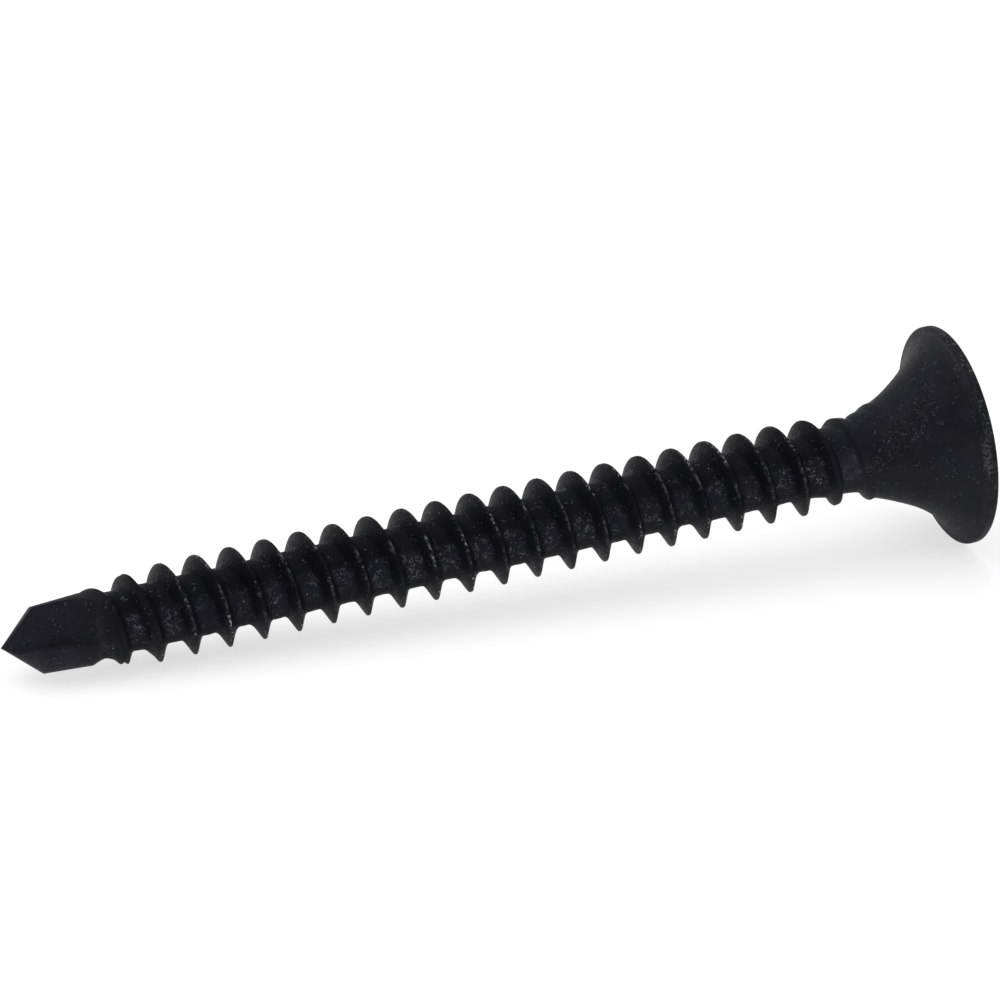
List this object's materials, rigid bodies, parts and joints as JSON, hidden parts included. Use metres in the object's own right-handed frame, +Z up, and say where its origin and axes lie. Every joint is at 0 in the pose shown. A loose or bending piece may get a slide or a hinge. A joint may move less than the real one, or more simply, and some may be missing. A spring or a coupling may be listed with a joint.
{
  "type": "self-drilling drywall screw",
  "caption": "Self-drilling drywall screw with a fluted drill point, fine thread up to the neck, and a bugle head with a cross recess, in black phosphate.",
  "frame": {"origin": "on the floor, under the centre of the screw's bounding box, with the screw lying at rest on its head's rim and on the thread near its point", "axes": "+X from the drill point towards the head, in the floor's plane; +Z up; the screw's own axis lies in the XZ plane and rises about 4.3 degrees towards the head"},
  "size_m": [0.0382, 0.0082, 0.0083],
  "materials": {
    "black_phosphate": "matte black phosphate coating with a soft sheen and fine crystal specks, worn a little lighter on the crests and the rim"
  },
  "bodies": {
    "root": {"drywall_screw": "black_phosphate"}
  },
  "joints": []
}
